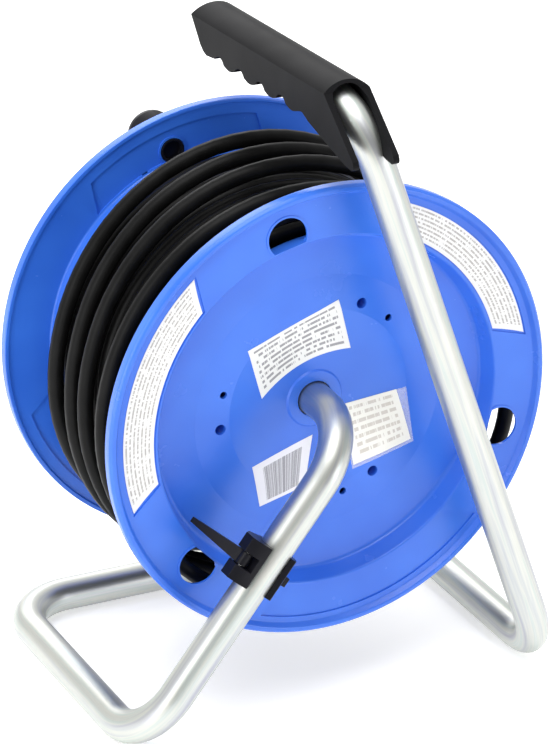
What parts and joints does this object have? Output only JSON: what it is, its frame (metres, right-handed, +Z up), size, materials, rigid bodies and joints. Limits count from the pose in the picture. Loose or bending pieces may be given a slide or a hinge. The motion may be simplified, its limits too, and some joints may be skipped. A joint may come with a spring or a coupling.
{
  "type": "extension cord reel",
  "caption": "Extension cord reel: plastic drum with wound rubber cable and lidded sockets, turning on a bent steel tube frame with a carrying grip, crank knob and drum stop.",
  "frame": {"origin": "on the floor, under the middle of the reel's box", "axes": "+Z up; the drum's axle is along Y, the socket side faces -Y and the frame's legs and upright stand on the +Y side"},
  "size_m": [0.2963, 0.2473, 0.4067],
  "materials": {
    "blue_plastic": "semi-gloss",
    "black_plastic": "satin",
    "galvanised_steel": "satin, galvanised",
    "black_rubber": "matte",
    "contact_brass": "bright",
    "zinc_steel": "zinc plated",
    "button_red": "semi-gloss",
    "white_nylon": "satin",
    "wire_brown": "satin",
    "wire_blue": "satin",
    "wire_green": "satin"
  },
  "bodies": {
    "frame": {"frame_tube": "galvanised_steel", "handle_grip": "black_plastic", "axle_end_plug": "white_nylon", "axle_washer": "zinc_steel", "axle_screw": "zinc_steel", "stop_clamp": "black_plastic", "stop_pin": "zinc_steel"},
    "drum": {"back_flange": "blue_plastic", "front_flange": "blue_plastic", "drum_core": "blue_plastic", "back_bush": "white_nylon", "inner_bush": "white_nylon", "socket_panel": "black_plastic", "contact_bar_inner": "contact_brass", "contact_bar_outer": "contact_brass", "thermal_cutout": "black_plastic", "button_spring": "zinc_steel", "cable_gland": "black_rubber", "inner_lead": "black_rubber", "clamp_base": "black_plastic", "clamp_saddle": "white_nylon", "clamp_screw_1": "zinc_steel", "clamp_screw_2": "zinc_steel", "terminal_block": "white_nylon", "wire_live": "wire_brown", "wire_neutral": "wire_blue", "wire_earth": "wire_green", "knob_axle": "black_plastic", "knob_screw": "zinc_steel", "cable_winding": "black_rubber", "cable_tail": "black_rubber", "plug_body": "black_rubber", "plug_sleeve": "black_rubber", "plug_pin_1": "zinc_steel", "plug_pin_2": "zinc_steel", "drum_screw_1": "zinc_steel", "panel_screw_1": "zinc_steel", "socket_insert_1": "black_plastic", "earth_clip_1": "zinc_steel", "lid_pin_1": "zinc_steel", "lid_spring_1": "zinc_steel", "drum_screw_2": "zinc_steel", "panel_screw_2": "zinc_steel", "socket_insert_2": "black_plastic", "earth_clip_2": "zinc_steel", "lid_pin_2": "zinc_steel", "lid_spring_2": "zinc_steel", "drum_screw_3": "zinc_steel", "panel_screw_3": "zinc_steel", "socket_insert_3": "black_plastic", "earth_clip_3": "zinc_steel", "lid_pin_3": "zinc_steel", "lid_spring_3": "zinc_steel"},
    "stop": {"stop_finger": "black_plastic"},
    "button": {"reset_button": "button_red"},
    "knob": {"crank_knob": "black_plastic"},
    "lid_1": {"socket_lid_1": "black_plastic"},
    "lid_2": {"socket_lid_2": "black_plastic"},
    "lid_3": {"socket_lid_3": "black_plastic"}
  },
  "joints": [
    {"name": "drum_spin", "type": "hinge", "parent": "frame", "child": "drum", "pos_m": [0, 0, 0.191], "axis": [0, 1, 0], "continuous": true},
    {"name": "stop_hinge", "type": "hinge", "parent": "frame", "child": "stop", "pos_m": [0.07401, 0.106, 0.12548], "axis": [0.6074, 0, -0.7944], "range_deg": [-60, 25]},
    {"name": "knob_spin", "type": "hinge", "parent": "drum", "child": "knob", "pos_m": [0.03157, -0.093, 0.30719], "axis": [0, -1, 0], "continuous": true},
    {"name": "button_press", "type": "slide", "parent": "drum", "child": "button", "axis": [0, 1, 0], "range_m": [0, 0.002], "stiffness_N_per_m": 800, "springref_m": -0.002},
    {"name": "lid_1_hinge", "type": "hinge", "parent": "drum", "child": "lid_1", "pos_m": [0, -0.09, 0.264], "axis": [-1, 0, 0], "range_deg": [0, 95], "stiffness_Nm_per_rad": 0.01, "springref_deg": -57.3},
    {"name": "lid_2_hinge", "type": "hinge", "parent": "drum", "child": "lid_2", "pos_m": [-0.06322, -0.09, 0.1545], "axis": [0.5, 0, -0.866], "range_deg": [0, 95], "stiffness_Nm_per_rad": 0.01, "springref_deg": -57.3},
    {"name": "lid_3_hinge", "type": "hinge", "parent": "drum", "child": "lid_3", "pos_m": [0.06322, -0.09, 0.1545], "axis": [0.5, 0, 0.866], "range_deg": [0, 95], "stiffness_Nm_per_rad": 0.01, "springref_deg": -57.3}
  ]
}
